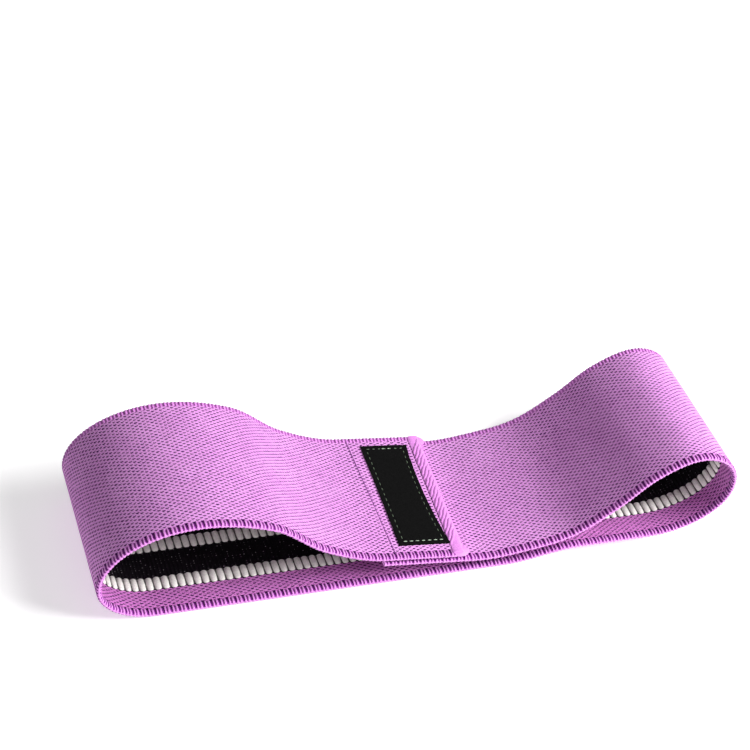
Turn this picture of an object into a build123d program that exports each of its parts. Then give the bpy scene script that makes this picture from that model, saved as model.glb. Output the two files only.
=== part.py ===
from build123d import *
import math
import os

# A wide woven resistance band: one strip of elastic webbing whose two ends overlap in a sewn join,
# which makes a closed loop. The loop lies on a table with the webbing's width along Y. The bottom run
# is flat, both ends stand up as open loops, and the top run, which holds the join, sinks between them
# until it nearly meets the bottom run.
# Millimetres. +X runs along the loop, Y across the webbing and +Z up. The origin is the middle of
# the loop's length and width, on the table.

# Webbing
band_width = 80.0          # across the webbing, edge to edge
outer_ply = 0.8            # coloured cloth on the outside
core_ply = 0.6             # latex threads between the two cloths
inner_ply = 0.8            # cloth on the inside
edge_width = 3.5           # overlocked edge, each side
margin_width = 13.5        # coloured inside margin, from the edge of the webbing to a grip strip
grip_width = 7.5           # ribbed rubber strip
grip_height = 0.8          # how far a grip strip stands proud of the inside cloth
thread_width = 1.2         # latex thread
thread_pitch = 4.6

# Loop as it lies, measured from the middle of the join
left_reach = 149.0         # to the tip of the left loop
left_tip_height = 20.0
left_crest = 106.0         # to the highest line of the left loop
left_height = 50.0
left_landing = 122.0       # where the left loop comes down on the table
right_reach = 144.5
right_tip_height = 31.0
right_crest = 123.5
right_height = 50.8
right_landing = 106.0
right_lift = 4.7           # the right loop hangs a little clear of the table
lift_start = 36.0
lift_end = 72.0
left_drape = [(0.33, 0.29), (0.62, 0.79)]       # shares of the way and of the rise, join to crest
right_drape = [(0.26, 0.045), (0.45, 0.16), (0.63, 0.46), (0.80, 0.82)]

# Join
join_slope = 6.4           # degrees, down towards +X
overlap_left = 21.0        # the under ply's end, from the middle of the label
overlap_right = 17.5       # the upper ply's end
flat_past_binding = 1.0    # the under ply stays flat a little past the binding
ply_gap = 0.1              # between the two plies
run_gap = 1.6              # between the join and the bottom run
label_width = 23.0
label_length = 66.0
label_offset = 0.2         # the label sits a touch towards the rear edge
label_thickness = 0.5
label_corner = 0.8
stitch_inset = 2.3
stitch_pitch = 3.5
stitch_length = 2.0
stitch_width = 0.5
stitch_rise = 0.2
seam_offset = 5.7          # from the label's left edge to the join seam
seam_pitch = 3.0
seam_stitch = 2.2
binding_gap = 2.5          # from the label's right edge to the bound end
binding_cover = 3.5        # how far the binding runs past the cut end
binding_rise = 0.9
binding_inset = 1.0        # the binding stops short of the webbing's edges
tack_length = 5.0
tail_binding_thickness = 0.9

# Where the webbing is divided between the moving bodies
divide = 60.0
divide_gap = 0.3

spline_spans = 12          # spans of each curved stretch below the outside
halvings = 40

web = outer_ply + core_ply + inner_ply
stack = web + grip_height
half_width = band_width / 2
centre_shift = (left_reach - right_reach) / 2
slope = math.radians(join_slope)
under_depth = stack + ply_gap
straight_right = overlap_right + binding_cover + flat_past_binding
join_height = 2 * stack + run_gap + under_depth * math.cos(slope) + straight_right * math.sin(slope)
join_plane = Plane(
    origin=(centre_shift, 0, join_height),
    x_dir=(math.cos(slope), 0, -math.sin(slope)),
    z_dir=(math.sin(slope), 0, math.cos(slope)),
)


def join_point(along, depth):
    """A point of the join in the XZ plane: along it from its middle, and down from its outside."""
    x = along * math.cos(slope) - depth * math.sin(slope) + centre_shift
    z = join_height - along * math.sin(slope) - depth * math.cos(slope)
    return (x, z)


def drape(start, crest, shares):
    """Points from the join's end up to a crest, at the given shares of the way and of the rise."""
    return [
        (start[0] + way * (crest[0] - start[0]), start[1] + rise * (crest[1] - start[1]))
        for way, rise in shares
    ]


def bend(center, half_length, half_height, start):
    """A quarter of an ellipse, anticlockwise from the start angle."""
    return EllipticalCenterArc(center, half_length, half_height, start, arc_size=90)


def outside_edges():
    """The webbing's outside, from the upper ply's end round the loop to the under ply's end."""
    towards_left = (-math.cos(slope), math.sin(slope))
    upper_end = join_point(overlap_right, 0)
    upper_start = join_point(-overlap_left, 0)
    under_start = join_point(straight_right, under_depth)
    under_end = join_point(-overlap_left, under_depth)
    crest_l = (centre_shift - left_crest, left_height)
    crest_r = (centre_shift + right_crest, right_height)
    foot_l = (centre_shift - left_landing, 0)
    lift_a = (centre_shift + lift_start, 0)
    lift_b = (centre_shift + lift_end, right_lift)
    foot_r = (centre_shift + right_landing, right_lift)
    return [
        Line(upper_end, upper_start),
        Spline(
            upper_start, *drape(upper_start, crest_l, left_drape), crest_l,
            tangents=[towards_left, (-1, 0)],
        ),
        bend((crest_l[0], left_tip_height), left_reach - left_crest, left_height - left_tip_height, 90),
        bend((foot_l[0], left_tip_height), left_reach - left_landing, left_tip_height, 180),
        Line(foot_l, lift_a),
        Spline(lift_a, lift_b, tangents=[(1, 0), (1, 0)]),
        Line(lift_b, foot_r),
        bend((foot_r[0], right_tip_height), right_reach - right_landing, right_tip_height - right_lift, 270),
        bend((crest_r[0], right_tip_height), right_reach - right_crest, right_height - right_tip_height, 0),
        Spline(
            crest_r, *reversed(drape(under_start, crest_r, right_drape)), under_start,
            tangents=[(-1, 0), towards_left],
        ),
        Line(under_start, under_end),
    ]


outside = outside_edges()


def inset_point(edge, share, depth):
    along = edge % share
    return (edge @ share) + Vector(-along.Y, along.X) * depth


def inset_edge(edge, depth, start=0.0, end=1.0):
    """The same stretch of the webbing, depth below its outside, between two shares of its length."""
    if edge.geom_type == GeomType.LINE:
        return Line(inset_point(edge, start, depth), inset_point(edge, end, depth))
    shares = [start + (end - start) * i / spline_spans for i in range(spline_spans + 1)]
    points = [inset_point(edge, share, depth) for share in shares]
    return Spline(*points, tangents=[edge % start, edge % end])


def crossings(depth, x):
    """Where the webbing at this depth passes an X position, as (edge number, share) in order."""
    found = []
    for number, edge in enumerate(outside):
        low, high = 0.0, 1.0
        rising = inset_point(edge, 0, depth).X < inset_point(edge, 1, depth).X
        if (inset_point(edge, 0, depth).X < x) == (inset_point(edge, 1, depth).X < x):
            continue
        for _ in range(halvings):
            middle = (low + high) / 2
            if (inset_point(edge, middle, depth).X < x) == rising:
                low = middle
            else:
                high = middle
        found.append((number, (low + high) / 2))
    return found


def stretch(depth, start, end):
    """The webbing's edges at this depth from one place on the strip to another."""
    edges = []
    for number in range(start[0], end[0] + 1):
        first = start[1] if number == start[0] else 0.0
        last = end[1] if number == end[0] else 1.0
        edges.append(inset_edge(outside[number], depth, first, last))
    return edges


def zone_ends(depth):
    """Where each part of the loop starts and ends at this depth."""
    near = divide - divide_gap / 2
    far = divide + divide_gap / 2
    upper_end, base_start = crossings(depth, centre_shift - near)
    left_start, left_end = crossings(depth, centre_shift - far)
    base_end, under_start = crossings(depth, centre_shift + near)
    right_start, right_end = crossings(depth, centre_shift + far)
    return {
        "upper": ((0, 0.0), upper_end),
        "left": (left_start, left_end),
        "base": (base_start, base_end),
        "right": (right_start, right_end),
        "under": (under_start, (len(outside) - 1, 1.0)),
    }


def zone_faces(top, bottom):
    """One layer's outline in the XZ plane, between two depths, for each part of the loop."""
    faces = {}
    lower_ends = zone_ends(bottom)
    for zone, (start, end) in zone_ends(top).items():
        upper = stretch(top, start, end)
        lower = stretch(bottom, *lower_ends[zone])
        caps = [Line(upper[0] @ 0, lower[0] @ 0), Line(upper[-1] @ 1, lower[-1] @ 1)]
        faces[zone] = make_face(upper + lower + caps)
    return faces


def across(face, front, rear):
    """A layer's outline made solid between two Y positions."""
    return Plane.XZ * (Pos(0, 0, -rear) * extrude(face, amount=rear - front))


def cloth_pieces():
    """Every piece of the webbing, by name, for each part of the loop."""
    inside = half_width - edge_width
    grip_outer = half_width - margin_width
    grip_inner = grip_outer - grip_width
    half_grip = grip_width / 2
    thread_room = 2 * inside - thread_width
    threads = int(thread_room // thread_pitch) + 1
    first = -thread_pitch * (threads - 1) / 2
    thread_rows = [first + thread_pitch * i for i in range(threads)]
    layers = {
        "outer_cloth": (0, outer_ply, [(-inside, inside)]),
        "latex_threads": (
            outer_ply, outer_ply + core_ply,
            [(y - thread_width / 2, y + thread_width / 2) for y in thread_rows],
        ),
        "inner_margins": (outer_ply + core_ply, web, [(-inside, -grip_outer), (grip_outer, inside)]),
        "lining": (outer_ply + core_ply, web, [(-grip_outer, grip_outer)]),
        "front_grip": (web, stack, [(-grip_outer, -grip_inner)]),
        "middle_grip": (web, stack, [(-half_grip, half_grip)]),
        "rear_grip": (web, stack, [(grip_inner, grip_outer)]),
        "front_edge": (0, web, [(-half_width, -inside)]),
        "rear_edge": (0, web, [(inside, half_width)]),
    }
    pieces = {}
    for name, (top, bottom, rows) in layers.items():
        for zone, face in zone_faces(top, bottom).items():
            solids = [across(face, front, rear).solid() for front, rear in rows]
            pieces[f"{name}_{zone}"] = Compound(solids)
    return pieces


def label_piece():
    patch = RectangleRounded(label_width, label_length, label_corner)
    return join_plane * (Pos(0, label_offset, 0) * extrude(patch, amount=label_thickness))


def stitch(length, turn):
    """One visible stitch: a short flattened thread with round ends, lying on what it holds."""
    bar = SlotOverall(length, stitch_width)
    return Rot(0, 0, turn) * extrude(bar, amount=stitch_rise)


def stitch_row(start, end, pitch, length):
    """Stitches evenly spaced along a straight line between two points of the join."""
    run = math.dist(start, end)
    count = int(run // pitch) + 1
    lead = (run - pitch * (count - 1)) / 2
    turn = math.degrees(math.atan2(end[1] - start[1], end[0] - start[0]))
    stitches = []
    for i in range(count):
        share = (lead + pitch * i) / run
        x = start[0] + share * (end[0] - start[0])
        y = start[1] + share * (end[1] - start[1])
        stitches.append(Pos(x, y, 0) * stitch(length, turn))
    return stitches


def label_stitching():
    x = label_width / 2 - stitch_inset
    low = label_offset - label_length / 2 + stitch_inset
    high = label_offset + label_length / 2 - stitch_inset
    corner = stitch_length
    rows = stitch_row((-x, low + corner), (-x, high - corner), stitch_pitch, stitch_length)
    rows += stitch_row((x, low + corner), (x, high - corner), stitch_pitch, stitch_length)
    rows += stitch_row((-x, low), (x, low), stitch_pitch, stitch_length)
    rows += stitch_row((-x, high), (x, high), stitch_pitch, stitch_length)
    return join_plane * (Pos(0, 0, label_thickness) * Compound([s.solid() for s in rows]))


def join_seam():
    x = -label_width / 2 - seam_offset
    end = half_width - edge_width
    rows = stitch_row((x, -end), (x, end), seam_pitch, seam_stitch)
    return join_plane * Compound([s.solid() for s in rows])


def binding_outline():
    """The overlock binding's section: over the cut end and down to the under ply."""
    start = label_width / 2 + binding_gap
    tip = overlap_right + binding_cover
    crown = (overlap_right, binding_rise)
    edges = [
        Spline((start, 0), crown, (tip, -under_depth), tangents=[(1, 1), (0.2, -1)]),
        Line((tip, -under_depth), (overlap_right, -under_depth)),
        Line((overlap_right, -under_depth), (overlap_right, 0)),
        Line((overlap_right, 0), (start, 0)),
    ]
    return make_face(edges)


def end_binding():
    length = band_width - 2 * (binding_inset + tack_length)
    bar = Plane.XZ * (Pos(0, 0, -length / 2) * extrude(binding_outline(), amount=length))
    return join_plane * bar


def bar_tack(side):
    """A dense block of stitches that closes one end of the binding. side is -1 in front, 1 at the rear."""
    middle = side * (half_width - binding_inset - tack_length / 2)
    block = Pos(0, 0, -middle - tack_length / 2) * extrude(binding_outline(), amount=tack_length)
    return join_plane * (Plane.XZ * block)


def tail_binding():
    """Overlock thread over the under ply's cut end, which shows past the seam."""
    length = band_width - 2 * edge_width
    block = Box(tail_binding_thickness, length, web)
    fillet_edges = block.edges().filter_by(Axis.Y).sort_by(Axis.X)[:2]
    block = fillet(fillet_edges, tail_binding_thickness * 0.8)
    return join_plane * (Pos(-overlap_left - tail_binding_thickness / 2, 0, -under_depth - web / 2) * block)


def join_pieces():
    return {
        "label": label_piece(),
        "label_stitching": label_stitching(),
        "join_seam": join_seam(),
        "end_binding": end_binding(),
        "front_bar_tack": bar_tack(-1),
        "rear_bar_tack": bar_tack(1),
        "tail_binding": tail_binding(),
    }


os.makedirs("parts", exist_ok=True)
for name, piece in {**cloth_pieces(), **join_pieces()}.items():
    export_step(piece, f"parts/{name}.step")
    print(name, round(sum(s.volume for s in piece.solids()), 1))
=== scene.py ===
import math

import bpy
import numpy as np
from mathutils import Matrix, Vector
from mathutils.geometry import interpolate_bezier


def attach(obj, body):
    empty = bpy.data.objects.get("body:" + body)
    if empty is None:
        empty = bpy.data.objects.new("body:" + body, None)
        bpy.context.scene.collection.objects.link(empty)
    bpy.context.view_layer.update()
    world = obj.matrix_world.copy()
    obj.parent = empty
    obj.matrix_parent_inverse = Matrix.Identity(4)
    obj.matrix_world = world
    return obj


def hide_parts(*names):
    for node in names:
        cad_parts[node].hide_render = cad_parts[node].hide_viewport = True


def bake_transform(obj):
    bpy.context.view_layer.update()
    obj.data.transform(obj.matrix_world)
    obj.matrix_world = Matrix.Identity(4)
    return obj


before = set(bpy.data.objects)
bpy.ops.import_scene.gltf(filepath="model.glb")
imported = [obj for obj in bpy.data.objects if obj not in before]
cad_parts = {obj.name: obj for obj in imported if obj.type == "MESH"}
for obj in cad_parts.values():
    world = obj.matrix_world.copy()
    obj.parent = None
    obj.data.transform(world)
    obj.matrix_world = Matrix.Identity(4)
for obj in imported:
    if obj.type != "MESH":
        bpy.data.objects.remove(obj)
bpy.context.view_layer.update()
bpy.ops.object.select_all(action="DESELECT")
print("frame loaded")

# metres. The strip is modelled flat: X is the way along it from the upper ply's end, Y is the depth
# below its outside and Z is across it, front edge up. placeOnLoop then wraps it round the loop.
mm = 0.001
hair = 0.01 * mm         # places nearer than this are the same
quarter = math.pi / 2
roundness = 0.5523       # handle length for a quarter ellipse

camera = {
    "place": (-0.2672, -0.5827, 0.5979),
    "turn": -22.9,
    "height": 38.95,
    "roll": 8.5,
    "lens": 91.87,
    "sensor": 36,
    "nearest": 0.01,
}

loop = {
    "shift": 2.25 * mm,
    "leftReach": 149 * mm, "leftTip": 20 * mm, "leftCrest": 106 * mm,
    "leftHeight": 50 * mm, "leftLanding": 122 * mm,
    "rightReach": 144.5 * mm, "rightTip": 31 * mm, "rightCrest": 123.5 * mm,
    "rightHeight": 50.8 * mm, "rightLanding": 106 * mm,
    "lift": 4.7 * mm, "liftStart": 36 * mm, "liftEnd": 72 * mm,
    "leftDrape": [(0.33, 0.29), (0.62, 0.79)],
    "rightDrape": [(0.26, 0.045), (0.45, 0.16), (0.63, 0.46), (0.80, 0.82)],
    "samples": 64,
}

join = {
    "slope": math.radians(6.4),
    "underPly": 21 * mm,
    "upperPly": 17.5 * mm,
    "plyGap": 0.1 * mm,
    "runGap": 1.6 * mm,
    "pastBinding": 4.5 * mm,
    "askew": 4 * mm,          # the bound end's front corner stands back from its rear one
    "askewFade": 55 * mm,
}

webbing = {
    "width": 80 * mm,
    "edge": 3.5 * mm,
    "margin": 13.5 * mm,
    "grip": 7.5 * mm,
    "gripHeight": 0.8 * mm,
    "outer": 0.8 * mm,
    "core": 0.6 * mm,
    "inner": 0.8 * mm,
    "column": 1.75 * mm,      # from one column of the knit to the next
    "row": 2.0 * mm,
    "divide": 60 * mm,
}
web = webbing["outer"] + webbing["core"] + webbing["inner"]
stack = web + webbing["gripHeight"]
halfWidth = webbing["width"] / 2
inside = halfWidth - webbing["edge"]
marginInner = halfWidth - webbing["margin"]
stitchPitch = 2 * webbing["column"]


def onlySelect(piece):
    bpy.ops.object.select_all(action="DESELECT")
    piece.select_set(True)
    bpy.context.view_layer.objects.active = piece


def applyModifiers(piece):
    onlySelect(piece)
    for modifier in list(piece.modifiers):
        bpy.ops.object.modifier_apply(modifier=modifier.name)


def applyPlace(piece):
    onlySelect(piece)
    bpy.ops.object.transform_apply(location=True, rotation=True, scale=True)


def selectPoints(piece, wanted):
    # leaves edit mode on, with just the wanted points selected
    onlySelect(piece)
    bpy.ops.object.mode_set(mode="EDIT")
    bpy.ops.mesh.select_mode(type="VERT")
    bpy.ops.mesh.select_all(action="DESELECT")
    bpy.ops.object.mode_set(mode="OBJECT")
    for point in piece.data.vertices:
        point.select = wanted(point.co)
    bpy.ops.object.mode_set(mode="EDIT")


def movePoints(piece, wanted, step):
    selectPoints(piece, wanted)
    bpy.ops.transform.translate(value=step)
    bpy.ops.object.mode_set(mode="OBJECT")


def outwardNormals(piece):
    onlySelect(piece)
    bpy.ops.object.mode_set(mode="EDIT")
    bpy.ops.mesh.select_all(action="SELECT")
    bpy.ops.mesh.normals_make_consistent(inside=False)
    bpy.ops.object.mode_set(mode="OBJECT")


def smooth(piece, angle=60):
    onlySelect(piece)
    bpy.ops.object.shade_smooth_by_angle(angle=math.radians(angle))


def joinPieces(pieces, name):
    bpy.ops.object.select_all(action="DESELECT")
    for piece in pieces:
        piece.select_set(True)
    bpy.context.view_layer.objects.active = pieces[0]
    bpy.ops.object.join()
    pieces[0].name = name
    return pieces[0]


def repeatAlong(piece, count, step, merge=None):
    array = piece.modifiers.new("Repeat", "ARRAY")
    array.use_relative_offset = False
    array.use_constant_offset = True
    array.constant_offset_displace = step
    array.count = count
    if merge:
        array.use_merge_vertices = True
        array.merge_threshold = merge
    applyModifiers(piece)


def flatUV(piece):
    # the strip's own metres: u along it and v across it, counted from the rear edge of the cloth
    mesh = piece.data
    layer = mesh.uv_layers.active or mesh.uv_layers.new(name="UVMap")
    places = np.empty(len(mesh.vertices) * 3)
    mesh.vertices.foreach_get("co", places)
    places = places.reshape(-1, 3)
    corners = np.empty(len(mesh.loops), int)
    mesh.loops.foreach_get("vertex_index", corners)
    flat = places[corners][:, [0, 2]]
    flat[:, 1] += inside
    layer.data.foreach_set("uv", flat.ravel())


def joinPoint(along, depth):
    slope = join["slope"]
    height = 2 * stack + join["runGap"] + (stack + join["plyGap"]) * math.cos(slope)
    height += (join["upperPly"] + join["pastBinding"]) * math.sin(slope)
    return Vector((
        along * math.cos(slope) - depth * math.sin(slope) + loop["shift"],
        height - along * math.sin(slope) - depth * math.cos(slope),
        0,
    ))


def lineRun(start, end):
    third = (end - start) / 3
    return [[start, start - third, start + third], [end, end - third, end + third]]


def quarterRun(start, end, startWay, endWay):
    out = startWay * roundness * abs((end - start).dot(startWay))
    back = endWay * roundness * abs((end - start).dot(endWay))
    return [[start, start - out, start + out], [end, end - back, end + back]]


def softRun(points, startWay, endWay):
    knots = []
    for i, point in enumerate(points):
        before = points[max(i - 1, 0)]
        after = points[min(i + 1, len(points) - 1)]
        way = (after - before).normalized()
        if i == 0:
            way = startWay
        if i == len(points) - 1:
            way = endWay
        reachBack = (point - before).length / 3
        reachOn = (after - point).length / 3
        knots.append([point, point - way * reachBack, point + way * reachOn])
    return knots


def drapePoints(start, crest, shares):
    return [
        Vector((start.x + way * (crest.x - start.x), start.y + rise * (crest.y - start.y), 0))
        for way, rise in shares
    ]


def loopKnots():
    slope = join["slope"]
    shift = loop["shift"]
    left, right = Vector((-1, 0, 0)), Vector((1, 0, 0))
    up, down = Vector((0, 1, 0)), Vector((0, -1, 0))
    alongJoin = Vector((-math.cos(slope), math.sin(slope), 0))
    underDepth = stack + join["plyGap"]
    upperEnd = joinPoint(join["upperPly"], 0)
    upperStart = joinPoint(-join["underPly"], 0)
    underStart = joinPoint(join["upperPly"] + join["pastBinding"], underDepth)
    underEnd = joinPoint(-join["underPly"], underDepth)
    crestL = Vector((shift - loop["leftCrest"], loop["leftHeight"], 0))
    tipL = Vector((shift - loop["leftReach"], loop["leftTip"], 0))
    footL = Vector((shift - loop["leftLanding"], 0, 0))
    liftA = Vector((shift + loop["liftStart"], 0, 0))
    liftB = Vector((shift + loop["liftEnd"], loop["lift"], 0))
    footR = Vector((shift + loop["rightLanding"], loop["lift"], 0))
    tipR = Vector((shift + loop["rightReach"], loop["rightTip"], 0))
    crestR = Vector((shift + loop["rightCrest"], loop["rightHeight"], 0))
    leftRise = drapePoints(upperStart, crestL, loop["leftDrape"])
    rightRise = drapePoints(underStart, crestR, loop["rightDrape"])
    runs = [
        lineRun(upperEnd, upperStart),
        softRun([upperStart, *leftRise, crestL], alongJoin, left),
        quarterRun(crestL, tipL, left, down),
        quarterRun(tipL, footL, down, right),
        lineRun(footL, liftA),
        softRun([liftA, liftB], right, right),
        lineRun(liftB, footR),
        quarterRun(footR, tipR, right, up),
        quarterRun(tipR, crestR, up, left),
        softRun([crestR, *reversed(rightRise), underStart], left, alongJoin),
        lineRun(underStart, underEnd),
    ]
    knots = runs[0]
    for run in runs[1:]:
        knots[-1][2] = run[0][2]
        knots += run[1:]
    return knots


def drawLoop(knots):
    bpy.ops.curve.primitive_bezier_curve_add()
    line = bpy.context.object
    line.name = "loop_line"
    line.data.dimensions = "2D"
    line.data.fill_mode = "NONE"
    line.data.resolution_u = loop["samples"]
    points = line.data.splines[0].bezier_points
    points.add(len(knots) - 2)
    for point, (place, back, out) in zip(points, knots):
        point.handle_left_type = "FREE"
        point.handle_right_type = "FREE"
        point.co = place
        point.handle_left = back
        point.handle_right = out
    return line


def traceLoop(knots):
    # distance along the line, with the X it has reached
    trace = [(0.0, knots[0][0].x)]
    for (start, _, out), (end, back, _) in zip(knots, knots[1:]):
        samples = interpolate_bezier(start, out, back, end, loop["samples"] + 1)
        for a, b in zip(samples, samples[1:]):
            trace.append((trace[-1][0] + (b - a).length, b.x))
    return trace


def crossings(trace, x):
    found = []
    for (s, here), (after, there) in zip(trace, trace[1:]):
        if (here < x) != (there < x):
            found.append(s + (after - s) * (x - here) / (there - here))
    return found


def gapNear(distance):
    # the nearest gap between two edge stitches, which falls half a column past a whole one
    half = webbing["column"] / 2
    return round((distance - half) / stitchPitch) * stitchPitch + half


loopKnotList = loopKnots()
loopLine = drawLoop(loopKnotList)
trace = traceLoop(loopKnotList)
cutL = loop["shift"] - webbing["divide"]
cutR = loop["shift"] + webbing["divide"]
topCutL, bottomCutL = [gapNear(s) for s in crossings(trace, cutL)]
bottomCutR, topCutR = [gapNear(s) for s in crossings(trace, cutR)]
stripStart = gapNear(0)
stripEnd = gapNear(trace[-1][0])
# how far in X each stretch goes on bending from its cut, out to the loop's tip or in to the join
tipBendL, joinBendL = -145 * mm, -19 * mm
tipBendR, joinBendR = 143 * mm, 22.5 * mm
zones = {
    "upper": {"from": stripStart, "to": topCutL, "bodies": ("base", "top"), "bend": (cutL, joinBendL)},
    "left": {"from": topCutL, "to": bottomCutL, "bodies": ("left", "base"), "bend": (tipBendL, cutL)},
    "base": {"from": bottomCutL, "to": bottomCutR, "bodies": ("base",), "bend": None},
    "right": {"from": bottomCutR, "to": topCutR, "bodies": ("right", "base"), "bend": (tipBendR, cutR)},
    "under": {"from": topCutR, "to": stripEnd, "bodies": ("base", "top"), "bend": (cutR, joinBendR)},
}
print("loop line drawn,", round(trace[-1][0] * 1000, 1), "mm along")


def askewEnd(piece):
    for point in piece.data.vertices:
        share = (point.co.z + halfWidth) / webbing["width"]
        near = 1 - min(max(point.co.x / join["askewFade"], 0), 1)
        point.co.x += join["askew"] * share * near


def placeOnLoop(piece, zone=None):
    if zone == "upper":
        askewEnd(piece)
    wrap = piece.modifiers.new("Round the loop", "CURVE")
    wrap.object = loopLine
    wrap.deform_axis = "POS_X"
    applyModifiers(piece)
    piece.rotation_euler = (quarter, 0, 0)
    applyPlace(piece)


def settle(piece, layer, zone):
    # rides with its body where its stretch of the loop has only one, and otherwise stays fixed where it
    # lies; it stands for the plain solid there
    bodies = zones[zone]["bodies"]
    if len(bodies) == 2:
        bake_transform(piece)
    else:
        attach(piece, bodies[0])
    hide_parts(f"{layer}_{zone}")


def newMaterial(name, roughness, sheen=0.0, specular=0.3):
    material = bpy.data.materials.new(name)
    material.use_nodes = True
    shader = material.node_tree.nodes["Principled BSDF"]
    shader.inputs["Roughness"].default_value = roughness
    shader.inputs["Sheen Weight"].default_value = sheen
    shader.inputs["Sheen Roughness"].default_value = 0.4
    shader.inputs["Specular IOR Level"].default_value = specular
    return material


def calc(material, operation, first, second=None, third=None):
    tree = material.node_tree
    node = tree.nodes.new("ShaderNodeMath")
    node.operation = operation
    for socket, value in zip(node.inputs, (first, second, third)):
        if isinstance(value, (int, float)):
            socket.default_value = value
        elif value is not None:
            tree.links.new(value, socket)
    return node.outputs[0]


def stripCoordinates(material):
    tree = material.node_tree
    uv = tree.nodes.new("ShaderNodeUVMap")
    uv.uv_map = "UVMap"
    split = tree.nodes.new("ShaderNodeSeparateXYZ")
    tree.links.new(uv.outputs[0], split.inputs[0])
    return split.outputs[0], split.outputs[1]


def softStep(material, value, low, high):
    node = material.node_tree.nodes.new("ShaderNodeMapRange")
    node.interpolation_type = "SMOOTHSTEP"
    node.inputs["From Min"].default_value = low
    node.inputs["From Max"].default_value = high
    material.node_tree.links.new(value, node.inputs["Value"])
    return node.outputs["Result"]


def cellNoise(material, u, v, stepU, stepV):
    # one random value for each opening of the knit, from its place in millimetres
    tree = material.node_tree
    cellU = calc(material, "SNAP", calc(material, "ADD", u, stepU / 2), stepU)
    cellV = calc(material, "SNAP", calc(material, "ADD", v, stepV / 2), stepV)
    cell = tree.nodes.new("ShaderNodeCombineXYZ")
    tree.links.new(cellU, cell.inputs[0])
    tree.links.new(cellV, cell.inputs[1])
    grow = tree.nodes.new("ShaderNodeVectorMath")
    grow.operation = "SCALE"
    grow.inputs["Scale"].default_value = 1 / mm
    tree.links.new(cell.outputs[0], grow.inputs[0])
    node = tree.nodes.new("ShaderNodeTexWhiteNoise")
    node.noise_dimensions = "2D"
    tree.links.new(grow.outputs[0], node.inputs["Vector"])
    return node.outputs["Value"]


def wobble(material, value, scale, reach):
    # shifts a coordinate a little, unevenly from place to place
    drift = calc(material, "SUBTRACT", noise(material, scale, 2), 0.5)
    return calc(material, "ADD", value, calc(material, "MULTIPLY", drift, reach))


def noise(material, scale, detail=3):
    tree = material.node_tree
    place = tree.nodes.new("ShaderNodeTexCoord")
    node = tree.nodes.new("ShaderNodeTexNoise")
    node.inputs["Scale"].default_value = scale
    node.inputs["Detail"].default_value = detail
    tree.links.new(place.outputs["Object"], node.inputs["Vector"])
    return node.outputs["Fac"]


def blendColour(material, share, first, second):
    tree = material.node_tree
    node = tree.nodes.new("ShaderNodeMix")
    node.data_type = "RGBA"
    tree.links.new(share, node.inputs["Factor"])
    for socket, colour in ((node.inputs[6], first), (node.inputs[7], second)):
        if isinstance(colour, tuple):
            socket.default_value = (*colour, 1)
        else:
            tree.links.new(colour, socket)
    return node.outputs[2]


def finishMaterial(material, colour=None, height=None, depth=0.0002, strength=0.6):
    tree = material.node_tree
    shader = tree.nodes["Principled BSDF"]
    if colour is not None:
        tree.links.new(colour, shader.inputs["Base Color"])
    if height is not None:
        bump = tree.nodes.new("ShaderNodeBump")
        bump.inputs["Strength"].default_value = strength
        bump.inputs["Distance"].default_value = depth
        tree.links.new(height, bump.inputs["Height"])
        tree.links.new(bump.outputs[0], shader.inputs["Normal"])
    return material


def wave(material, coordinate, pitch):
    # +1 at every whole pitch and -1 half way between
    return calc(material, "COSINE", calc(material, "MULTIPLY", coordinate, 2 * math.pi / pitch))


weave = {
    "roughness": 0.85, "sheen": 0.08, "specular": 0.12,
    "driftAlong": (700, 0.9 * mm), "driftAcross": (560, 0.7 * mm),       # scale and reach
    "openingStretch": 1.35,        # makes the openings longer than they are wide
    "luckLeast": 0.72, "luckSpread": 0.45,
    "fuzzScale": 2600, "fuzzOnOpenings": 0.3,
    "strandSlant": 0.45, "strandsPerRow": 3,
    "strandShare": 0.5, "fuzzShare": 1.6, "courseShare": 0.45, "litFrom": -0.1, "litTo": 1.6,
    "patchScale": 60, "patchFrom": 0.25, "patchTo": 0.75, "patchShare": 0.3,
    "strandHeight": 0.25, "bumpDepth": 0.4 * mm, "bumpStrength": 0.85,
}


def knitOpenings(material, u, v, luck, fuzz):
    # near +1 in the middle of an opening, staggered by half a row from one column to the next
    along = calc(material, "MULTIPLY", wave(material, u, stitchPitch), weave["openingStretch"])
    along = calc(material, "MAXIMUM", along, -1)
    along = calc(material, "MINIMUM", along, 1)
    openings = calc(material, "MULTIPLY", along, wave(material, v, webbing["row"]))
    strength = calc(material, "MULTIPLY_ADD", luck, weave["luckSpread"], weave["luckLeast"])
    openings = calc(material, "MULTIPLY", openings, strength)
    return calc(material, "ADD", openings, calc(material, "MULTIPLY", fuzz, weave["fuzzOnOpenings"]))


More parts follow.
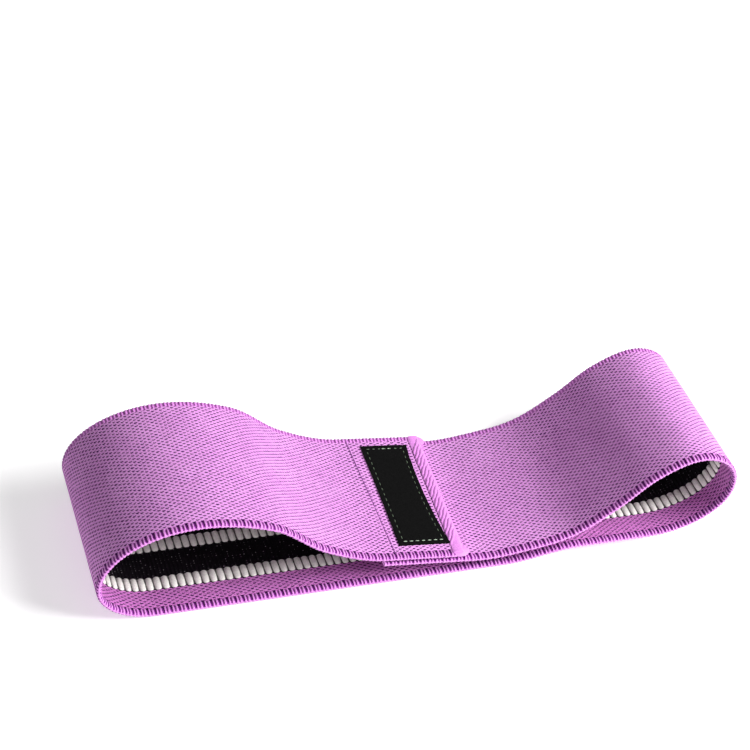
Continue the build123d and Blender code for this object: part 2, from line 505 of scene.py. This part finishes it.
def clothMaterial(name, light, mid, dark, gapLow, gapHigh):
    # a knit whose columns run across the strip, with small openings coloured dark: painted shade in the gaps
    material = newMaterial(name, weave["roughness"], sheen=weave["sheen"], specular=weave["specular"])
    u, v = stripCoordinates(material)
    row = webbing["row"]
    luck = cellNoise(material, u, v, webbing["column"], row / 2)
    u = wobble(material, u, *weave["driftAlong"])
    v = wobble(material, v, *weave["driftAcross"])
    fuzz = noise(material, weave["fuzzScale"], 2)
    openingShadeAndDip = softStep(material, knitOpenings(material, u, v, luck, fuzz), gapLow, gapHigh)
    slanted = calc(material, "ADD", v, calc(material, "MULTIPLY", u, weave["strandSlant"]))
    strands = wave(material, slanted, row / weave["strandsPerRow"])
    courses = calc(material, "MULTIPLY", wave(material, v, row / 2), weave["courseShare"])
    lit = calc(material, "MULTIPLY", strands, weave["strandShare"])
    lit = calc(material, "ADD", lit, calc(material, "MULTIPLY", fuzz, weave["fuzzShare"]))
    lit = calc(material, "SUBTRACT", lit, courses)
    thread = blendColour(material, softStep(material, lit, weave["litFrom"], weave["litTo"]), mid, light)
    patch = softStep(material, noise(material, weave["patchScale"], 4), weave["patchFrom"], weave["patchTo"])
    thread = blendColour(material, calc(material, "MULTIPLY", patch, weave["patchShare"]), thread, mid)
    # the openings take the dark colour, which is painted shade; the same mask also sinks them in the bump
    colour = blendColour(material, openingShadeAndDip, thread, dark)
    height = calc(material, "SUBTRACT", calc(material, "MULTIPLY", strands, weave["strandHeight"]), openingShadeAndDip)
    return finishMaterial(material, colour, height, weave["bumpDepth"], weave["bumpStrength"])


yarn = {
    "sheen": 0.3, "roughness": 0.6,
    "twistPitch": 0.45 * mm, "twistSlant": 0.35,
    "fuzzScale": 1500, "litFrom": -0.6, "litTo": 1.4,
    "bumpDepth": 0.12 * mm, "bumpStrength": 0.5,
}


def threadMaterial(name, light, dark):
    material = newMaterial(name, yarn["roughness"], sheen=yarn["sheen"])
    u, v = stripCoordinates(material)
    # the twist's grooves are coloured darker than its crowns, which is painted shade; the fuzz adds uneven
    # tone
    slanted = calc(material, "ADD", u, calc(material, "MULTIPLY", v, yarn["twistSlant"]))
    twist = wave(material, slanted, yarn["twistPitch"])
    fuzz = noise(material, yarn["fuzzScale"], 3)
    share = softStep(material, calc(material, "ADD", twist, fuzz), yarn["litFrom"], yarn["litTo"])
    colour = blendColour(material, share, dark, light)
    return finishMaterial(material, colour, twist, yarn["bumpDepth"], yarn["bumpStrength"])


def plainMaterial(name, light, dark, roughness, scale, specular=0.3):
    material = newMaterial(name, roughness, specular=specular)
    grain = noise(material, scale, 5)
    colour = blendColour(material, softStep(material, grain, 0.3, 0.7), dark, light)
    return finishMaterial(material, colour, grain, 0.08 * mm, 0.5)


liningWeave = {
    "roughness": 0.95, "specular": 0.08,
    "speckPitch": 0.8,             # across the strip, in columns
    "alongFrom": 0.55, "acrossFrom": 0.3,
    "luckScale": 420, "luckFrom": 0.50, "luckTo": 0.74,
    "ground": (0.0035, 0.002, 0.004), "speck": (0.42, 0.38, 0.42),
    "ribDepth": 0.3 * mm, "ribStrength": 0.5,
}


def liningMaterial():
    # near black, ribbed across, with a faint broken grid of pale specks
    material = newMaterial("lining_knit", liningWeave["roughness"], specular=liningWeave["specular"])
    u, v = stripCoordinates(material)
    column = webbing["column"]
    along = softStep(material, wave(material, u, column), liningWeave["alongFrom"], 1.0)
    acrossWave = wave(material, v, column * liningWeave["speckPitch"])
    across = softStep(material, acrossWave, liningWeave["acrossFrom"], 1.0)
    luck = noise(material, liningWeave["luckScale"], 3)
    lucky = softStep(material, luck, liningWeave["luckFrom"], liningWeave["luckTo"])
    speck = calc(material, "MULTIPLY", calc(material, "MULTIPLY", along, across), lucky)
    colour = blendColour(material, speck, liningWeave["ground"], liningWeave["speck"])
    ribs = wave(material, u, column)
    return finishMaterial(material, colour, ribs, liningWeave["ribDepth"], liningWeave["ribStrength"])


# dark is painted shade in the knit's openings
purple = clothMaterial(
    "purple_knit", light=(0.95, 0.46, 0.94), mid=(0.56, 0.18, 0.57), dark=(0.075, 0.003, 0.105),
    gapLow=0.27, gapHigh=0.80,
)
# a darker copy of the outer knit: painted shade for the cloth inside the loop
shadedInsidePurple = clothMaterial(
    "purple_knit_inside_shaded", light=(0.76, 0.27, 0.69), mid=(0.36, 0.08, 0.35), dark=(0.065, 0.004, 0.085),
    gapLow=0.28, gapHigh=0.80,
)
edgeThread = threadMaterial("edge_thread_purple", (0.86, 0.34, 0.85), (0.42, 0.11, 0.45))
# the slits between the edge loops get darker colours: painted shade in the gaps, fainter along the rear edge
slitShade = plainMaterial("bold_slit_shade", (0.25, 0.03, 0.30), (0.12, 0.008, 0.15), 0.9, 900)
faintSlitShade = plainMaterial("faint_slit_shade", (0.32, 0.07, 0.34), (0.16, 0.025, 0.18), 0.9, 900)
rearShade = threadMaterial("rear_slit_shade", (0.55, 0.17, 0.56), (0.30, 0.07, 0.32))
# the seam's stitches are real; their dark colour is painted shade for the crease along the seam
seamThreadShaded = threadMaterial("seam_thread_crease_shade", (0.30, 0.07, 0.34), (0.13, 0.02, 0.16))
lining = liningMaterial()
gripRubber = plainMaterial("grip_grey_white", (0.86, 0.84, 0.79), (0.70, 0.68, 0.65), 0.55, 1400)
# the base between the ribs is dark grey: painted shade in the grooves
gripBaseShaded = plainMaterial("grip_backing_shade", (0.13, 0.125, 0.12), (0.07, 0.066, 0.066), 0.85, 900)
latex = plainMaterial("latex_thread", (0.62, 0.56, 0.46), (0.50, 0.44, 0.34), 0.5, 900)
labelCloth = plainMaterial("label_black", (0.006,) * 3, (0.002,) * 3, 0.95, 2200, specular=0.04)
labelThread = threadMaterial("label_thread_pale", (0.46, 0.56, 0.44), (0.22, 0.30, 0.20))
# a darker copy of the label thread: painted shade on the side rows and most of the rear row
shadedLabelThread = threadMaterial("label_thread_shaded", (0.16, 0.22, 0.14), (0.07, 0.11, 0.06))
print("materials made")


knit = {
    "dimple": 0.34 * mm,      # how deep the openings sink
    "liningGroove": 0.12 * mm,                           # how far the lining sinks between its ribs
}


def isOpening(place):
    halfColumns = round(place.x / webbing["column"] * 2)
    halfRows = round((place.z + inside) / webbing["row"] * 2)
    return halfColumns % 2 == 0 and (halfRows - halfColumns // 2) % 2 == 0


def clothGrid(start, end, low, high, depth, facing, stepAlong, stepAcross):
    bpy.ops.mesh.primitive_grid_add(
        x_subdivisions=max(1, round((end - start) / stepAlong)),
        y_subdivisions=max(1, round((high - low) / stepAcross)),
        size=1,
    )
    piece = bpy.context.object
    piece.scale = (end - start, high - low, 1)
    piece.rotation_euler = (facing * quarter, 0, 0)
    applyPlace(piece)
    piece.location = ((start + end) / 2, depth, (low + high) / 2)
    applyPlace(piece)
    return piece


def thicken(piece, thickness):
    solid = piece.modifiers.new("Thickness", "SOLIDIFY")
    solid.thickness = thickness
    solid.offset = -1
    applyModifiers(piece)


def knitLayer(zone, low, high, depth, facing, thickness):
    start, end = zones[zone]["from"], zones[zone]["to"]
    piece = clothGrid(start, end, low, high, depth, facing, webbing["column"] / 2, webbing["row"] / 2)
    movePoints(piece, isOpening, (0, facing * knit["dimple"], 0))
    flatUV(piece)
    thicken(piece, thickness)
    return piece


def outerCloth():
    for zone in zones:
        piece = knitLayer(zone, -inside, inside, 0, 1, webbing["outer"])
        piece.name = f"outer_cloth_{zone}_knit"
        piece.data.materials.append(purple)
        placeOnLoop(piece, zone)
        smooth(piece)
        settle(piece, "outer_cloth", zone)


def innerMargins():
    for zone in zones:
        sides = []
        for low, high in ((-inside, -marginInner), (marginInner, inside)):
            side = knitLayer(zone, low, high, web, -1, webbing["inner"])
            side.data.materials.append(shadedInsidePurple)
            sides.append(side)
        piece = joinPieces(sides, f"inner_margins_{zone}_knit")
        placeOnLoop(piece, zone)
        smooth(piece)
        settle(piece, "inner_margins", zone)


def liningCloth():
    for zone in zones:
        start, end = zones[zone]["from"], zones[zone]["to"]
        half = webbing["column"] / 2
        piece = clothGrid(start, end, -marginInner, marginInner, web, -1, half, stitchPitch)
        movePoints(piece, lambda place: round(place.x / half) % 2 == 0, (0, -knit["liningGroove"], 0))
        flatUV(piece)
        thicken(piece, webbing["inner"])
        piece.name = f"lining_{zone}_knit"
        piece.data.materials.append(lining)
        placeOnLoop(piece, zone)
        smooth(piece)
        settle(piece, "lining", zone)


latexStrip = {"width": 1.2 * mm, "pitch": 4.6 * mm, "clearance": 0.02 * mm}


def latexThreads():
    # flat rubber threads, hidden between the two cloths
    width, pitch, clearance = latexStrip["width"], latexStrip["pitch"], latexStrip["clearance"]
    count = int((2 * inside - width) // pitch) + 1
    for zone in zones:
        start, end = zones[zone]["from"], zones[zone]["to"]
        depth = webbing["outer"] + clearance
        piece = clothGrid(start, end, -width / 2, width / 2, depth, 1, stitchPitch, width)
        thicken(piece, webbing["core"] - 2 * clearance)
        piece.location.z = -pitch * (count - 1) / 2
        applyPlace(piece)
        repeatAlong(piece, count, (0, 0, pitch))
        flatUV(piece)
        piece.name = f"latex_threads_{zone}_strips"
        piece.data.materials.append(latex)
        placeOnLoop(piece, zone)
        settle(piece, "latex_threads", zone)


rib = {
    "width": 3.1 * mm,
    "height": 0.95 * mm,
    "endLength": 3.1 * mm / 2.6,                         # the rounded stretch at each end
    "sink": 0.1 * mm,
    "segments": 10,
    "rings": 6,
    "backing": 0.15 * mm,
    "backingInset": 0.6 * mm,
}


def ribRow(start, end, middle):
    # rubber bars side by side across the strip, one to each pitch of the edge stitches
    bpy.ops.mesh.primitive_uv_sphere_add(segments=rib["segments"], ring_count=rib["rings"], radius=1)
    bar = bpy.context.object
    bar.scale = (rib["width"] / 2, rib["height"], rib["endLength"])
    bar.location = (start + stitchPitch / 2, web - rib["sink"], 0)
    applyPlace(bar)
    reach = webbing["grip"] / 2 - rib["endLength"]
    movePoints(bar, lambda place: place.z > hair, (0, 0, reach))
    movePoints(bar, lambda place: place.z < -hair, (0, 0, -reach))
    bar.location.z = middle
    applyPlace(bar)
    repeatAlong(bar, round((end - start) / stitchPitch), (stitchPitch, 0, 0))
    bar.data.materials.append(gripRubber)
    flatUV(bar)
    return bar


def ribBacking(start, end, middle):
    # the strip's base under the ribs, coloured as painted shade between them
    half = webbing["grip"] / 2
    low = middle - half + rib["backingInset"]
    high = middle + half - rib["backingInset"]
    backing = clothGrid(start, end, low, high, web + rib["backing"], -1, stitchPitch / 2, half)
    thicken(backing, rib["backing"])
    backing.data.materials.append(gripBaseShaded)
    flatUV(backing)
    return backing


def gripStrips():
    half = webbing["grip"] / 2
    rows = {"front": marginInner - half, "middle": 0.0, "rear": half - marginInner}
    for side, middle in rows.items():
        for zone in zones:
            start, end = zones[zone]["from"], zones[zone]["to"]
            parts = [ribRow(start, end, middle), ribBacking(start, end, middle)]
            piece = joinPieces(parts, f"{side}_grip_{zone}_ribs")
            placeOnLoop(piece, zone)
            smooth(piece)
            settle(piece, f"{side}_grip", zone)


overlock = {
    "points": 12,
    # along the pitch in mm, how full the section is there in depth, and in reach: two threads and
    # the two slits beside them, one bold and one narrow
    "sections": [
        (0.0, 1.02, 1.04), (0.28, 0.96, 1.0), (0.4, 0.6, 0.9), (1.3, 0.6, 0.9), (1.42, 0.94, 0.99),
        (1.75, 1.02, 1.03), (2.08, 0.94, 0.99), (2.2, 0.72, 0.93), (2.78, 0.72, 0.93), (2.9, 0.96, 1.0),
        (3.5, 1.02, 1.04),
    ],
    "boldSlit": (0.32, 1.38),
    "narrowSlit": (2.12, 2.86),
    "lip": 0.25 * mm,                                    # no slit comes nearer to the very edge
    "bite": 1.55 * mm,                                   # how far the loops reach in past the rounded lip
}


def shadeSlits(unit, start, side):
    unit.data.materials.append(edgeThread)
    unit.data.materials.append(slitShade if side == "front" else rearShade)
    unit.data.materials.append(faintSlitShade if side == "front" else rearShade)
    # faces inside a slit take the darker materials, which are painted shade
    for face in unit.data.polygons:
        along = (face.center.x - start) / mm
        if face.center.z > halfWidth - overlock["lip"]:
            continue
        if overlock["boldSlit"][0] < along < overlock["boldSlit"][1]:
            face.material_index = 1
        if overlock["narrowSlit"][0] < along < overlock["narrowSlit"][1]:
            face.material_index = 2


def overlockUnit(start, side):
    # one pitch of the edge: two threads, a bold slit and a narrow one
    radius = web / 2
    bpy.ops.mesh.primitive_circle_add(
        vertices=overlock["points"], radius=radius, rotation=(0, quarter, 0), location=(start, radius, 0)
    )
    unit = bpy.context.object
    applyPlace(unit)
    # the half that faces the cloth reaches in to it
    movePoints(unit, lambda place: place.z < -hair, (0, 0, -overlock["bite"]))
    middle = (0, radius, halfWidth - radius)
    unit.location.z = middle[2]
    applyPlace(unit)
    onlySelect(unit)
    bpy.ops.object.mode_set(mode="EDIT")
    bpy.ops.mesh.select_all(action="SELECT")
    placed, full, reach = 0.0, 1.0, 1.0
    for along, nextFull, nextReach in overlock["sections"]:
        if along:
            bpy.ops.mesh.extrude_region_move(
                TRANSFORM_OT_translate={"value": ((along - placed) * mm, 0, 0)}
            )
        bpy.ops.transform.resize(
            value=(1, nextFull / full, nextReach / reach),
            center_override=(start + along * mm, middle[1], middle[2]),
        )
        placed, full, reach = along, nextFull, nextReach
    bpy.ops.object.mode_set(mode="OBJECT")
    shadeSlits(unit, start, side)
    if side == "rear":
        unit.scale.z = -1
        applyPlace(unit)
    return unit


def overlockedEdges():
    for side in ("front", "rear"):
        for zone in zones:
            start, end = zones[zone]["from"], zones[zone]["to"]
            piece = overlockUnit(start, side)
            repeatAlong(piece, round((end - start) / stitchPitch), (stitchPitch, 0, 0), merge=hair)
            onlySelect(piece)
            bpy.ops.object.mode_set(mode="EDIT")
            bpy.ops.mesh.select_all(action="SELECT")
            bpy.ops.mesh.fill_holes(sides=overlock["points"])
            bpy.ops.mesh.normals_make_consistent(inside=False)
            bpy.ops.object.mode_set(mode="OBJECT")
            flatUV(piece)
            piece.name = f"{side}_edge_{zone}_overlock"
            placeOnLoop(piece, zone)
            smooth(piece, 70)
            settle(piece, f"{side}_edge", zone)


outerCloth()
innerMargins()
liningCloth()
latexThreads()
print("cloth made")
gripStrips()
print("grip strips made")
overlockedEdges()
print("edges made")


label = {
    "width": 23 * mm, "length": 66 * mm, "offset": 0.2 * mm, "thickness": 0.5 * mm,
    "stepAlong": 0.5 * mm, "stepAcross": 0.8 * mm, "wander": 0.18 * mm,
    "inset": 2.3 * mm, "groove": 0.12 * mm,              # the stitches press a groove this deep
    "waistRight": 2.0 * mm, "waistLeft": 0.2 * mm,       # how far its long sides draw in half way
    "frontRight": 0.9 * mm, "frontLeft": 2.2 * mm,       # and how far its front corners stand to the left
}
labelMiddle = join["upperPly"]           # the label sits over the join's middle


def thread(length, width, rise, place, turn=0.0):
    # one stitch: a short thread that dives into the cloth at both ends
    bpy.ops.mesh.primitive_uv_sphere_add(segments=8, ring_count=6, radius=1)
    stitch = bpy.context.object
    stitch.rotation_euler = (0, quarter, 0)
    applyPlace(stitch)
    stitch.scale = (length / 2, rise, width / 2)
    stitch.rotation_euler = (0, turn, 0)
    stitch.location = place
    applyPlace(stitch)
    return stitch


def drawInSides(piece):
    half = label["width"] / 2
    for point in piece.data.vertices:
        share = (labelMiddle + half - point.co.x) / label["width"]
        along = (point.co.z + label["offset"]) * 2 / label["length"]
        arch = 1 - along ** 2
        point.co.x += arch * (label["waistRight"] * share - label["waistLeft"] * (1 - share))
        point.co.x += (1 + along) / 2 * (label["frontRight"] * share + label["frontLeft"] * (1 - share))


def labelPatch():
    half = label["width"] / 2
    low = -label["offset"] - label["length"] / 2
    high = -label["offset"] + label["length"] / 2
    inset, stepAlong, stepAcross = label["inset"], label["stepAlong"], label["stepAcross"]
    piece = clothGrid(
        labelMiddle - half, labelMiddle + half, low, high, -label["thickness"], 1, stepAlong, stepAcross
    )

    # the grid's points nearest to the stitches
    def onStitchLine(place):
        nearSide = abs(abs(place.x - labelMiddle) - (half - inset)) < stepAlong * 0.7
        nearEnd = min(abs(place.z - low - inset), abs(place.z - high + inset)) < stepAcross * 0.6
        return nearSide or nearEnd

    def onBorder(place):
        return min(place.z - low, high - place.z, half - abs(place.x - labelMiddle)) < hair

    movePoints(piece, onStitchLine, (0, label["groove"], 0))
    selectPoints(piece, onBorder)
    bpy.ops.transform.vertex_random(offset=label["wander"], seed=5)
    bpy.ops.object.mode_set(mode="OBJECT")
    flatUV(piece)
    drawInSides(piece)
    thicken(piece, label["thickness"])
    piece.name = "label_patch"
    piece.data.materials.append(labelCloth)
    placeOnLoop(piece)
    smooth(piece, 50)
    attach(piece, "top")
    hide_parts("label")


def stitchRow(start, end, pitch, length, width, rise, depth):
    # stitches evenly spaced between two places on the strip
    run = math.dist(start, end)
    count = int(run // pitch) + 1
    lead = (run - pitch * (count - 1)) / 2
    way = ((end[0] - start[0]) / run, (end[1] - start[1]) / run)
    first = (start[0] + way[0] * lead, depth, start[1] + way[1] * lead)
    stitch = thread(length, width, rise, first, -math.atan2(way[1], way[0]))
    repeatAlong(stitch, count, (way[0] * pitch, 0, way[1] * pitch))
    return stitch


labelStitch = {
    "bright": (0.42 * mm, 0.2 * mm, 0.02 * mm),          # width, rise and how deep its middle lies
    # the dim rows lie a little deeper and take the darker thread, which is painted shade
    "dim": (0.36 * mm, 0.18 * mm, 0.07 * mm),
    "endPitch": 2.76 * mm, "frontLength": 1.7 * mm, "rearLength": 1.3 * mm, "rearBrightLength": 1.4 * mm,
    "sidePitch": 3.5 * mm, "sideLength": 1.8 * mm, "cornerGap": 2 * mm,
}


def labelRow(start, end, pitch, length, look):
    width, rise, sink = labelStitch[look]
    row = stitchRow(
        start, end, labelStitch[pitch], labelStitch[length], width, rise, sink - label["thickness"]
    )
    row.data.materials.append(labelThread if look == "bright" else shadedLabelThread)
    return row


def labelStitches():
    half = label["width"] / 2 - label["inset"]
    low = -label["offset"] - label["length"] / 2 + label["inset"]
    high = -label["offset"] + label["length"] / 2 - label["inset"]
    left, right = labelMiddle + half, labelMiddle - half
    lowSide, highSide = low + labelStitch["cornerGap"], high - labelStitch["cornerGap"]
    brightFrom, brightTo = labelMiddle - labelStitch["endPitch"], labelMiddle + labelStitch["endPitch"] / 2
    rows = [
        labelRow((right, high), (left, high), "endPitch", "frontLength", "bright"),
        labelRow((brightFrom, low), (brightTo, low), "endPitch", "rearBrightLength", "bright"),
        labelRow((left, lowSide), (left, highSide), "sidePitch", "sideLength", "dim"),
        labelRow((right, lowSide), (right, highSide), "sidePitch", "sideLength", "dim"),
        labelRow((right, low), (left, low), "endPitch", "rearLength", "dim"),
    ]
    piece = joinPieces(rows, "label_stitches")
    flatUV(piece)
    drawInSides(piece)
    placeOnLoop(piece)
    smooth(piece, 180)
    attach(piece, "top")
    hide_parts("label_stitching")


seam = {
    "rear": 5.8 * mm, "front": 5.6 * mm,                 # how far it runs from the label
    "pitch": 3.0 * mm, "length": 2.95 * mm, "width": 0.62 * mm, "rise": 0.14 * mm,
}


def seamStitches():
    # runs beside the label, a little askew
    beside = labelMiddle + label["width"] / 2
    rear, front = (beside + seam["rear"], -inside), (beside + seam["front"], inside)
    piece = stitchRow(rear, front, seam["pitch"], seam["length"], seam["width"], seam["rise"], 0.0)
    piece.name = "join_seam_stitches"
    flatUV(piece)
    piece.data.materials.append(seamThreadShaded)
    placeOnLoop(piece)
    smooth(piece, 180)
    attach(piece, "top")
    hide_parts("join_seam")


bead = {
    "halfWidth": 3.5 * mm,
    # from the label's side over the crown and down to the under ply: place along, and depth, in mm
    "outline": [
        (4.2, 0.1), (3.4, -0.15), (2.4, -0.36), (1.2, -0.5), (0.0, -0.55), (-1.0, -0.4),
        (-1.9, 0.15), (-2.6, 1.0), (-3.1, 2.0), (-3.5, 3.1),
    ],
    "fromEdge": 1 * mm,
    "stepAlong": 0.35 * mm,
    "core": 0.4 * mm,
    "coreRise": 0.16 * mm,    # the padding fills most of the gaps between the strands
    "coreStep": 1.2 * mm,
    "strandRadius": 0.72 * mm,
    "strandSqueeze": 0.62,
    "strandSteps": 10,
    "strandRun": 10 * mm,     # along the bead, while it crosses from one side to the other
    "strandFrom": -1.3 * mm,
    "strandTo": 3.5 * mm,
    "strandPitch": 3.6 * mm,
    "strandRise": 0.1 * mm,
    "strandPast": 0.3,        # the share of its run that the first or last strand lies past the core
    "uneven": [(0.35 * mm, 0.9), (0.2 * mm, 2.3)],       # swings of the strands, and how quickly they change
}
tack = {
    "length": 5 * mm,
    "coreRise": 0.05 * mm,
    "coreStep": 1.25 * mm,
    "satinRadius": 0.26 * mm,
    "satinPitch": 0.5 * mm,
    "satinRise": 0.12 * mm,
    "satinSteps": 12,
    "capSize": (4.6 * mm, 1.5 * mm, 3.4 * mm),           # the soft lump that closes each end
    "capDepth": 1.0 * mm,
    "capPast": 0.1 * mm,
    "capSideways": -0.2 * mm,
}


def beadDepth(along):
    places = [p for p, _ in reversed(bead["outline"])]
    depths = [d for _, d in reversed(bead["outline"])]
    return float(np.interp(along / mm, places, depths)) * mm


def lieOnBead(piece):
    # lays a flat piece over the bead's crown, point by point
    for point in piece.data.vertices:
        point.co.y += beadDepth(point.co.x)


def placeOnJoin(piece, askew=True):
    # the join is straight, so its pieces only need turning into place
    if askew:
        for point in piece.data.vertices:
            point.co.x += join["askew"] * (point.co.z + halfWidth) / webbing["width"]
    piece.rotation_euler = (quarter, math.pi + join["slope"], 0)
    end = joinPoint(join["upperPly"], 0)
    piece.location = (end.x, 0, end.y)
    applyPlace(piece)


def strand(start, step, count, radius, squeeze=1.0):
    # a thread laid flat from a start, in equal steps, thin at both ends
    way = math.atan2(step[2], step[0])
    bpy.ops.mesh.primitive_circle_add(
        vertices=8, radius=radius, fill_type="NGON", rotation=(0, quarter - way, 0), location=start
    )
    piece = bpy.context.object
    applyPlace(piece)
    bpy.ops.object.mode_set(mode="EDIT")
    bpy.ops.mesh.select_all(action="SELECT")
    taper = [min(1.0, 0.45 + 0.4 * min(i, count - i)) for i in range(count + 1)]
    bpy.ops.transform.resize(value=(taper[0],) * 3, center_override=start)
    here = Vector(start)
    for i in range(count):
        bpy.ops.mesh.extrude_region_move(TRANSFORM_OT_translate={"value": step})
        here += Vector(step)
        bpy.ops.transform.resize(value=(taper[i + 1] / taper[i],) * 3, center_override=here)
    bpy.ops.mesh.select_all(action="SELECT")
    bpy.ops.transform.resize(value=(1, squeeze, 1), center_override=start)
    bpy.ops.mesh.normals_make_consistent(inside=False)
    bpy.ops.object.mode_set(mode="OBJECT")
    return piece


def finishOnJoin(piece, node, angle=60, askew=True):
    placeOnJoin(piece, askew)
    smooth(piece, angle)
    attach(piece, "top")
    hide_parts(node)


def beadCore(low, high, rise, step):
    half = bead["halfWidth"]
    core = clothGrid(-half, half, low, high, -rise, 1, bead["stepAlong"], step)
    flatUV(core)
    lieOnBead(core)
    thicken(core, bead["core"])
    core.data.materials.append(edgeThread)
    return core


def endBinding():
    end = halfWidth - bead["fromEdge"] - tack["length"]
    core = beadCore(-end, end, bead["coreRise"], bead["coreStep"])
    steps, run = bead["strandSteps"], bead["strandRun"]
    step = ((bead["strandTo"] - bead["strandFrom"]) / steps, 0, run / steps)
    start = (bead["strandFrom"], -bead["strandRise"], -end - run * bead["strandPast"])
    cord = strand(start, step, steps, bead["strandRadius"], bead["strandSqueeze"])
    count = int((2 * end - run * (1 - 2 * bead["strandPast"])) // bead["strandPitch"]) + 1
    repeatAlong(cord, count, (0, 0, bead["strandPitch"]))
    for point in cord.data.vertices:
        place = point.co.z / mm
        point.co.z += sum(swing * math.sin(place * quick) for swing, quick in bead["uneven"])
    flatUV(cord)
    lieOnBead(cord)
    cord.data.materials.append(edgeThread)
    piece = joinPieces([core, cord], "end_binding_bead")
    finishOnJoin(piece, "end_binding")


def satinRow(low):
    # threads laid side by side over the bead
    half = bead["halfWidth"]
    step = (2 * half / tack["satinSteps"], 0, 0)
    start = (-half, -tack["satinRise"], low + tack["satinPitch"] / 2)
    satin = strand(start, step, tack["satinSteps"], tack["satinRadius"])
    repeatAlong(satin, round(tack["length"] / tack["satinPitch"]), (0, 0, tack["satinPitch"]))
    flatUV(satin)
    lieOnBead(satin)
    satin.data.materials.append(edgeThread)
    return satin


def tackCap():
    bpy.ops.mesh.primitive_uv_sphere_add(segments=24, ring_count=14, radius=1)
    cap = bpy.context.object
    cap.scale = tack["capSize"]
    cap.location = (tack["capSideways"], tack["capDepth"], halfWidth + tack["capPast"] - tack["capSize"][2])
    applyPlace(cap)
    flatUV(cap)
    cap.data.materials.append(edgeThread)
    return cap


def barTack(side, node):
    high = halfWidth - bead["fromEdge"]
    low = high - tack["length"]
    parts = [beadCore(low, high, tack["coreRise"], tack["coreStep"]), satinRow(low), tackCap()]
    piece = joinPieces(parts, f"{node}_satin")
    if side < 0:
        piece.scale.z = -1
        applyPlace(piece)
        outwardNormals(piece)
    finishOnJoin(piece, node)


tail = {"thickness": 0.9 * mm, "loop": 1.75 * mm, "fullness": 0.48}


def tailBinding():
    # overlock loops over the under ply's cut end
    depth = stack + join["plyGap"] + web / 2
    bpy.ops.mesh.primitive_uv_sphere_add(segments=10, ring_count=8, radius=1)
    piece = bpy.context.object
    piece.scale = (tail["thickness"], web / 2, tail["loop"] * tail["fullness"])
    end = labelMiddle + join["underPly"]
    piece.location = (end, depth, -inside + tail["loop"] / 2)
    applyPlace(piece)
    repeatAlong(piece, int(2 * inside // tail["loop"]), (0, 0, tail["loop"]))
    flatUV(piece)
    piece.name = "tail_binding_loops"
    piece.data.materials.append(edgeThread)
    finishOnJoin(piece, "tail_binding", 180, askew=False)


labelPatch()
labelStitches()
seamStitches()
print("label and seam made")
endBinding()
barTack(1, "front_bar_tack")
barTack(-1, "rear_bar_tack")
tailBinding()
print("binding made")

bpy.data.objects.remove(loopLine)        # only a guide


ground = {"size": 6, "drop": 0.3 * mm, "grey": 0.9, "roughness": 0.9, "glow": 0.4}


def makeFloor():
    bpy.ops.mesh.primitive_plane_add(size=ground["size"], location=(0, 0, -ground["drop"]))
    floor = bpy.context.object
    floor.name = "floor"
    paint = bpy.data.materials.new("floor_pale")
    paint.use_nodes = True
    sockets = paint.node_tree.nodes["Principled BSDF"].inputs
    sockets["Base Color"].default_value = (ground["grey"], ground["grey"], ground["grey"], 1)
    sockets["Roughness"].default_value = ground["roughness"]
    sockets["Emission Color"].default_value = (1, 1, 1, 1)
    sockets["Emission Strength"].default_value = ground["glow"]
    floor.data.materials.append(paint)


lights = {
    "key": {"place": (1.0, -0.45, 0.78), "size": 0.8, "power": 38},
    "fill": {"place": (-0.35, -1.1, 0.45), "size": 1.2, "power": 5},
}


def makeLights():
    for name, light in lights.items():
        bpy.ops.object.light_add(type="AREA", location=light["place"])
        lamp = bpy.context.object
        lamp.name = f"{name}_light"
        lamp.data.size = light["size"]
        lamp.data.energy = light["power"]
        lamp.rotation_euler = Vector(light["place"]).to_track_quat("Z", "Y").to_euler()


backdrop = {"seen": 1.0, "lighting": 0.25}


def makeBackdrop():
    # looks white, and lights the band only a little
    world = bpy.data.worlds.new("studio")
    world.use_nodes = True
    nodes, links = world.node_tree.nodes, world.node_tree.links
    glow = nodes["Background"]
    glow.inputs["Color"].default_value = (1, 1, 1, 1)
    glow.inputs["Strength"].default_value = backdrop["lighting"]
    seen = nodes.new("ShaderNodeBackground")
    seen.inputs["Color"].default_value = (1, 1, 1, 1)
    seen.inputs["Strength"].default_value = backdrop["seen"]
    ray = nodes.new("ShaderNodeLightPath")
    choose = nodes.new("ShaderNodeMixShader")
    links.new(ray.outputs["Is Camera Ray"], choose.inputs["Fac"])
    links.new(glow.outputs[0], choose.inputs[1])
    links.new(seen.outputs[0], choose.inputs[2])
    links.new(choose.outputs[0], nodes["World Output"].inputs["Surface"])
    bpy.context.scene.world = world
    bpy.context.scene.view_settings.view_transform = "Standard"


def placeCamera():
    bpy.ops.object.camera_add()
    eye = bpy.context.object
    eye.name = "camera"
    eye.data.lens = camera["lens"]
    eye.data.sensor_width = camera["sensor"]
    eye.data.clip_start = camera["nearest"]
    eye.matrix_world = (
        Matrix.Translation(camera["place"])
        @ Matrix.Rotation(math.radians(camera["turn"]), 4, "Z")
        @ Matrix.Rotation(math.radians(90 - camera["height"]), 4, "X")
        @ Matrix.Rotation(math.radians(camera["roll"]), 4, "Z")
    )
    bpy.context.scene.camera = eye


makeFloor()
makeLights()
makeBackdrop()
placeCamera()
print("stage set")
